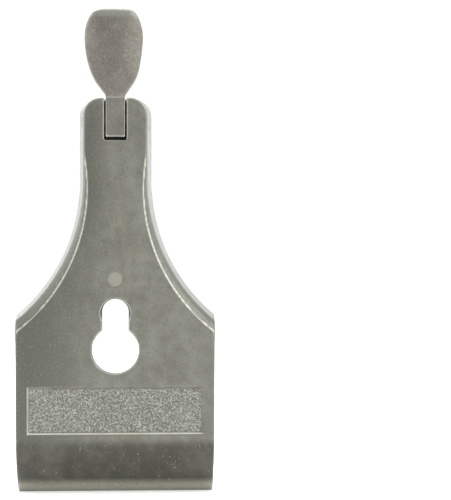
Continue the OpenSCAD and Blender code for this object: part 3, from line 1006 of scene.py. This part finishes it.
    def floor(self, pocket: np.ndarray) -> np.ndarray:
        """Finds the lighter cast surfaces: the hollow's floor, its rims and the spring's pocket.

        Args:
            pocket: share of the spring's pocket.

        Returns:
            One share a point.
        """
        x, _, z = self.skin.points.T
        centre = np.hypot(x, z - self.hole_height)
        clear = 1 - ease(centre, *(self.recess_radius + rim for rim in self.boss_rim))
        inner = ease(np.abs(x), *self.hollow_side) * clear * ease(z, *self.hollow_top)
        share = inner * (0.08 + 0.87 * ease(z, -7 * MM, -40 * MM))
        share += 0.16 * (1 - inner) * ease(z, 1 * MM, -6 * MM)
        share += 0.32 * (1 - inner) * clear * ease(z, -9 * MM, -18 * MM)
        return np.maximum(share * ease(-self.skin.front(), 0.4, 0.8), pocket * 0.8)

    def rim(self, side: Vector) -> np.ndarray:
        """Finds two of the panel's four walls.

        Args:
            side: towards which X and Z the two walls lie from the panel's middle.

        Returns:
            One share a point, 1 on the walls.
        """
        x, y, z = self.skin.points.T
        middle = (self.panel_low + self.panel_top) / 2
        tall = (self.panel_top - self.panel_low) / 2
        width = self.panel_wall
        inside = (np.abs(x) < self.panel_half + width) & (np.abs(z - middle) < tall + width) & (y < 2 * MM)
        from_side = np.abs(x * side.x - self.panel_half)
        from_end = np.abs((z - middle) * side.z - tall)
        return ease(np.minimum(from_side, from_end), width, 0.05 * MM) * inside

    def texture(self, masks: dict[Mask, np.ndarray]) -> None:
        """Gives the surface the lumps of the mould and the pebbled ground of the panel.

        Args:
            masks: the casting's masks, to which the pebbles are added.
        """
        skin = self.skin
        wide, fine = self.lump_size
        lumps = grain(skin.points, wide) * 0.6 + grain(skin.points, fine, 7.3) * 0.4
        waves = grain(skin.points, self.wave_size, 3.1)
        skin.push(lumps * (1 - masks[Mask.GROUND]) * self.lump_depth + waves * self.wave_depth)
        masks[Mask.PEBBLE] = pebbles(skin.points, self.pebble_size)
        stones = masks[Mask.PEBBLE] - 0.4
        skin.push(stones * skin.blurred(masks[Mask.PANEL], 2) * self.pebble_depth)


@dataclass
class CamLever:
    """The thumb lever with its heel and cam."""

    node: str = "cam_lever"
    skin: Skin = field(init=False)
    voxel: float = 0.14 * MM
    triangles: int = 90_000
    finish: LeverIron = LeverIron()
    foot: float = 53.7 * MM
    heel_depth: float = 1.5 * MM
    fuller: float = 0.52 * MM
    fullest: float = 5.3 * MM
    rounder: float = 0.25 * MM
    crown: float = 0.9 * MM
    crown_start: float = 2 * MM
    crown_width: float = 4.5 * MM
    stem_half: float = 2.4 * MM
    tab_gain: float = 7.2 * MM
    hub: float = 0.27 * MM
    regained: float = 0.38 * MM
    lean: float = 0.4 * MM
    ridge_lean: float = 0.8 * MM
    ridge_width: float = 0.3 * MM
    sparkle_width: float = 2.4 * MM
    scoop: float = 0.5 * MM
    scoop_side: float = 3.2 * MM
    scoop_width: float = 2.2 * MM
    glint_side: float = 1.5 * MM
    glint_height: float = 20.9 * MM
    glint_size: float = 0.4 * MM

    def build(self) -> bpy.types.Object:
        """Makes the lever from the CAD form, with tumbled edges.

        Returns:
            The piece, dressed and riding on its body.
        """
        piece = even_copy(self.node, "thumb_lever", self.voxel)
        self.skin = Skin(piece.data)
        tab = self.rise(0, 2)
        tip = self.rise(16.5, 19.5)
        self.shape()
        for rounds, weight in ((8, 0.12 + 0.38 * tab), (14, 0.5 * tab), (70, 0.5 * tip)):
            self.skin.soften(rounds, weight)
        self.smooth_back()
        self.mask_wear_highlight_and_shade(tab)
        self.mask_painted_light(tab)
        lumps = grain(self.skin.points, 0.9 * MM) * 0.012 * MM
        self.skin.push(lumps + grain(self.skin.points, 3 * MM, 5.5) * 0.03 * MM * tab)
        self.skin.write()
        lighten(piece, self.triangles)
        piece.data.materials.append(self.finish.material())
        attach(piece, Body.LEVER.value)
        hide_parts(self.node)
        return piece

    def rise(self, low: float, high: float) -> np.ndarray:
        """Share from 0 at low to 1 at high, both in millimetres above the tab's foot."""
        return ease(self.skin.points[:, 2], self.foot + low * MM, self.foot + high * MM)

    def beside_ridge(self) -> np.ndarray:
        """Distance across from the leaning ridge, in metres."""
        return self.skin.points[:, 0] + self.lean * self.rise(0, 13) + self.ridge_lean * self.rise(2, 20)

    def shape(self) -> None:
        """Gives the tab its fuller sides, rounder tip and slight lean, and fills the slot with the hub."""
        x, y, z = self.skin.points.T
        hidden = self.rise(-0.2, -0.6) * ease(y, 0.9 * MM, 1.8 * MM)
        x += np.sign(x) * hidden * self.hub * ease(np.abs(x), 1.5 * MM, 2.2 * MM)
        drop = self.crown * (np.clip(np.abs(x) - self.crown_start, 0, None) / self.crown_width) ** 2
        z -= drop * self.rise(16.5, 22)
        half = self.tab_gain * self.rise(1, 9) + self.stem_half
        fuller = self.fuller * hill((z - self.foot - self.fullest) / (4 * MM)) * self.rise(0, 1.5)
        tighter = self.rounder * self.rise(18.8, 22)
        x += x / np.maximum(half, np.abs(x)) * (fuller - tighter)
        x -= self.lean * self.rise(0, 13)
        behind = ease(-self.skin.front(), 0, 0.4) * hill(x / (3 * MM))
        x -= self.ridge_lean * self.rise(2, 20) * behind

    def smooth_back(self) -> None:
        """Scoops the back of the tip on both sides of the ridge and evens it out."""
        x, y, z = self.skin.points.T
        behind = ease(-self.skin.front(), -0.1, 0.3)
        lobes = hill((np.abs(x) - self.scoop_side) / self.scoop_width)
        lobes *= self.rise(18, 20) * self.rise(22, 21)
        y -= self.scoop * lobes * behind
        y += (self.skin.blurred(y, 160) - y) * behind * self.rise(15, 18)
        z += self.regained * self.rise(15, 22)

    def mask_wear_highlight_and_shade(self, tab: np.ndarray) -> None:
        """Keeps the masks of the front, the bright edges, worn and with painted highlights and glints, and
        the painted shade in corners, under the foot and behind the tip.

        Args:
            tab: share of the tab.
        """
        _, y, z = self.skin.points.T
        forward = self.skin.front()
        front = ease(forward, -0.3, 0.3)
        beside = self.beside_ridge()
        # painted highlight along the ridge
        spine = hill(beside / self.ridge_width) * self.rise(19.8, 19)
        spine *= 0.6 + 0.9 * grain(self.skin.points, 0.6 * MM, 2.2) + 0.5 * self.rise(16, 10)
        # lighter edges along the outline: wear with painted highlight
        edge = ease(forward, 0.96, 0.6) * front * 0.22 + ease(-forward, 0.75, 0.3) * (1 - front) * 0.3
        # the heel's edges: wear with painted highlight
        heel = (z < self.foot) * (y < self.heel_depth)
        worn = ease(self.skin.relief(10), 0.012 * MM, 0.05 * MM) * 0.5 * heel
        # painted highlight: a thin line across the front at the tab's foot
        across = 0.25 * hill((z - self.foot - 0.1 * MM) / (0.12 * MM)) * front
        up = z - self.foot - self.glint_height
        glint = hill((np.abs(beside) - self.glint_side) / self.glint_size, up / self.glint_size)
        # painted glints at the tip's notch and painted highlight on the ridge
        rear = (0.5 * glint + spine * tab * 0.38) * (1 - front)
        # painted shade: under the foot, in corners and at the back of the tip
        inside = (z < self.foot - 0.3 * MM) * ease(y, 0.3 * MM, 0.8 * MM)
        corner = ease(-self.skin.relief(40), 0.01 * MM, 0.12 * MM)
        tip = self.rise(18, 19.5) * ease(-forward, 0.2, 0.6)
        self.skin.keep(Mask.GROUND, front)
        self.skin.keep(Mask.WEAR_AND_HIGHLIGHT, worn + edge * tab + across + rear)
        self.skin.keep(Mask.DEEP_SHADE, np.maximum.reduce([corner * 0.5, inside * 0.8, tip * 0.45]))

    def mask_painted_light(self, tab: np.ndarray) -> None:
        """Keeps the masks of the painted highlight on the tip, the painted sheen behind and the painted
        glints along the ridge.

        Args:
            tab: share of the tab.
        """
        front = ease(self.skin.front(), -0.3, 0.3)
        # painted highlight on the front of the tip
        pale = np.maximum(0.6 * self.rise(19.6, 21), 0.05 * self.rise(1, 0))
        right = ease(self.skin.points[:, 0], -0.5 * MM, 1.5 * MM)
        along = hill(self.beside_ridge() / self.sparkle_width)
        self.skin.keep(Mask.LIP_HIGHLIGHT, pale * front)
        # painted sheen: lighter low on the back, most on the side towards the light
        self.skin.keep(Mask.TINT_AND_SHEEN, self.rise(19, 5) * (0.16 + 0.74 * right))
        self.skin.keep(Mask.SHADE_GLINT_AND_RUB, along * (1 - front) * tab * self.rise(18, 11))


@dataclass
class LeafSpring:
    """The flat spring, bowed off the neck by the cam and set a little askew."""

    node: str = "flat_spring"
    skin: Skin = field(init=False)
    voxel: float = 0.2 * MM
    finish: SpringSteel = SpringSteel()
    skew: float = math.radians(0.6)
    shorter: float = 0.65 * MM
    cam_offset: float = 0.6 * MM
    free_end: float = 8 * MM
    rivet_shade: Span = (4.15 * MM, 3.85 * MM)
    halo: Span = (5.4 * MM, 3.9 * MM)
    side: Span = (7.6 * MM, 8.5 * MM)
    corner_side: float = 7 * MM
    corner_drop: float = 3 * MM
    corner_size: Span = (2.2 * MM, 2.5 * MM)
    rub_drop: float = 4 * MM
    rub_size: Span = (0.9 * MM, 2.2 * MM)

    def build(self) -> bpy.types.Object:
        """Makes the spring from the CAD form and bends its leaf as a held spring bends.

        Returns:
            The piece, dressed and bowed.
        """
        piece = even_copy(self.node, "leaf_spring", self.voxel)
        self.skin = Skin(piece.data)
        foot = Vector(joint("spring_flex")["pos_m"])
        reach = joint("lever_pivot")["pos_m"][2] + self.cam_offset - foot.z
        self.bow(foot, reach)
        z = self.skin.points[:, 2]
        end = z.min()
        z += self.shorter * ease(z, end + 1.3 * MM, end)
        self.skin.soften(3, 0.5)
        self.mask(foot)
        self.skin.push(grain(self.skin.points, 1.6 * MM) * 0.01 * MM)
        self.skin.write()
        piece.data.materials.append(self.finish.material())
        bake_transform(piece)
        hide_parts(self.node)
        return piece

    def mask(self, foot: Vector) -> None:
        """Keeps the masks of the rust, the lighter top end, the painted shade on the edges and round the
        rivet's head, and the cam's rub.

        Args:
            foot: the rivet's place at the back of the neck.
        """
        x, _, z = self.skin.points.T
        ring = np.hypot(x, z - foot.z)
        top = z.max()
        beside = (np.abs(x) - self.corner_side) / self.corner_size[0]
        corners = hill(beside, (z - top + self.corner_drop) / self.corner_size[1])
        halo = ease(ring, *self.halo) * (0.5 + 0.5 * ease(z - foot.z - x, -1 * MM, 3 * MM))
        sides = 0.55 * ease(np.abs(x), *self.side)
        edges = ease(np.abs(self.skin.front()), 0.93, 0.5) * 0.95
        self.skin.keep(Mask.RUST, np.maximum.reduce([corners, halo, sides]))
        self.skin.keep(Mask.TINT_AND_SHEEN, ease(z, top - 10 * MM, top - 2 * MM))
        # painted shade round the rivet's head and on the spring's edges
        self.skin.keep(Mask.DEEP_SHADE, np.maximum(ease(ring, *self.rivet_shade) * 0.85, edges))
        self.skin.keep(Mask.SHADE_GLINT_AND_RUB, hill(x / self.rub_size[0], (z - top + self.rub_drop) / self.rub_size[1]))

    def bow(self, foot: Vector, reach: float) -> None:
        """Turns the straight leaf into the curve of a bar held at one end and pushed at the other.

        Args:
            foot: the rivet's place at the back of the neck.
            reach: distance from the rivet to where the cam pushes.
        """
        x, y, z = self.skin.points.T
        run = np.clip(z - foot.z, 0, None)
        high = z > z.max() - self.free_end
        slope = np.min((y - foot.y)[high] / (z - foot.z)[high])
        lift = slope * reach
        share = np.clip(run / reach, 0, 1)
        curve = lift * (share**2) * (3 - share) / 2 + np.clip(run - reach, 0, None) * 1.5 * lift / reach
        y += curve - slope * run
        x += (z - foot.z) * math.sin(self.skew)


@dataclass
class Fastening:
    """The rivet or the cross pin: a CAD solid with its edges eased."""

    node: str
    finish: RivetSteel
    ease_width: float = 0.05 * MM
    ease_from: float = math.radians(40)

    def build(self) -> bpy.types.Object:
        """Dresses the CAD node.

        Returns:
            The node's own object.
        """
        piece = frame["nodes"][self.node]
        weld = piece.modifiers.new("weld", "WELD")
        weld.merge_threshold = MM / 1000
        bevel = piece.modifiers.new("eased_edges", "BEVEL")
        bevel.width = self.ease_width
        bevel.segments = 3
        bevel.angle_limit = self.ease_from
        piece.data.materials.clear()
        piece.data.materials.append(self.finish.material())
        return piece


@dataclass(frozen=True)
class Lamp:
    """A soft square lamp that looks at the object, with its width in metres and its power in watts."""

    name: str
    place: Place
    size: float
    power: float

    def build(self) -> None:
        """Makes the lamp."""
        data = bpy.data.lights.new(self.name, "AREA")
        data.size = self.size
        data.energy = self.power
        lamp = bpy.data.objects.new(self.name, data)
        lamp.location = self.place
        lamp.rotation_euler = (-Vector(self.place)).to_track_quat("-Z", "Y").to_euler()
        bpy.context.scene.collection.objects.link(lamp)


@dataclass
class Studio:
    """Pale floor, soft light from all round and the photograph's camera."""

    floor_height: float = -45.8 * MM
    floor_radius: float = 700 * MM
    floor_tone: Colour = (0.85, 0.85, 0.85)
    floor_glow: float = 0.3
    sky: Colour = (0.98, 1.0, 0.98)
    sky_given: float = 0.95
    sky_seen: float = 1.05
    lamps: tuple[Lamp, ...] = (
        Lamp("front_window", (500 * MM, -450 * MM, 420 * MM), 500 * MM, 3.0),
        Lamp("left_window", (-550 * MM, -250 * MM, 250 * MM), 400 * MM, 1.0),
        Lamp("rear_window", (-150 * MM, 480 * MM, 520 * MM), 500 * MM, 3.0),
        Lamp("top_window", (0, 0, 800 * MM), 600 * MM, 3.0),
    )
    distance: float = 410 * MM
    pixel: float = 0.2505 * MM
    picture_width: int = 451
    picture_height: int = 500
    aside: float = 7 * MM
    object_pixel: tuple[float, float] = (115.3, 251.9)

    def build(self) -> None:
        """Makes the floor, the light and the camera."""
        self.floor()
        self.world()
        for lamp in self.lamps:
            lamp.build()
        self.camera()

    def floor(self) -> None:
        """Makes the round floor."""
        mesh = bpy.data.meshes.new("floor")
        form = bmesh.new()
        bmesh.ops.create_circle(form, cap_ends=True, segments=96, radius=self.floor_radius)
        form.to_mesh(mesh)
        form.free()
        floor = bpy.data.objects.new("floor", mesh)
        floor.location.z = self.floor_height
        bpy.context.scene.collection.objects.link(floor)
        floor.data.materials.append(Recipe("pale_floor").finish(
            Base_Color=self.floor_tone,
            Roughness=0.9,
            Specular_IOR_Level=0.1,
            Emission_Color=(1, 1, 1),
            Emission_Strength=self.floor_glow,
        ))

    def world(self) -> None:
        """Makes the even white surroundings, dimmer for the light that they give than for the eye."""
        world = bpy.data.worlds.new("light_tent")
        world.use_nodes = True
        bpy.context.scene.world = world
        tree = world.node_tree
        back = tree.nodes["Background"]
        back.inputs["Color"].default_value = (*self.sky, 1)
        path = tree.nodes.new("ShaderNodeLightPath")
        strength = tree.nodes.new("ShaderNodeMapRange")
        strength.inputs["To Min"].default_value = self.sky_given
        strength.inputs["To Max"].default_value = self.sky_seen
        tree.links.new(path.outputs["Is Camera Ray"], strength.inputs["Value"])
        tree.links.new(strength.outputs["Result"], back.inputs["Strength"])

    def camera(self) -> None:
        """Makes the camera, square to the face, with the cap where the photograph's left half has it."""
        data = bpy.data.cameras.new("camera")
        data.lens = data.sensor_width * self.distance / (self.picture_height * self.pixel)
        data.clip_end = 10
        camera = bpy.data.objects.new("camera", data)
        across = (self.picture_width / 2 - self.object_pixel[0]) * self.pixel / self.distance
        turn = math.atan(across) - math.atan(self.aside / self.distance)
        middle = (CAD_BOX[0].z + CAD_BOX[1].z) / 2
        lift = (self.object_pixel[1] - self.picture_height / 2) * self.pixel
        camera.location = (self.aside, -self.distance, middle + lift)
        camera.rotation_euler = (math.radians(90), 0, -turn)
        bpy.context.scene.collection.objects.link(camera)
        bpy.context.scene.camera = camera


def main() -> None:
    """Builds every piece in order, then the studio."""
    logging.basicConfig(level=logging.INFO, format="%(message)s")
    rivet = RivetSteel("rivet_steel", (0.49, 0.49, 0.465), (0.43, 0.43, 0.40), (0.275, 0.276, 0.230))
    pin = RivetSteel("pin_steel", (0.55, 0.56, 0.53), (0.46, 0.47, 0.44), (0.40, 0.40, 0.37))
    builders = [
        Casting(),
        CamLever(),
        LeafSpring(),
        Fastening("spring_rivet", rivet),
        Fastening("lever_pivot_pin", pin),
    ]
    for builder in builders:
        piece = builder.build()
        logging.info("%s: %d faces", piece.name, len(piece.data.polygons))
    Studio().build()
    bpy.context.scene.view_settings.view_transform = "Standard"


if __name__ == "__main__":
    main()
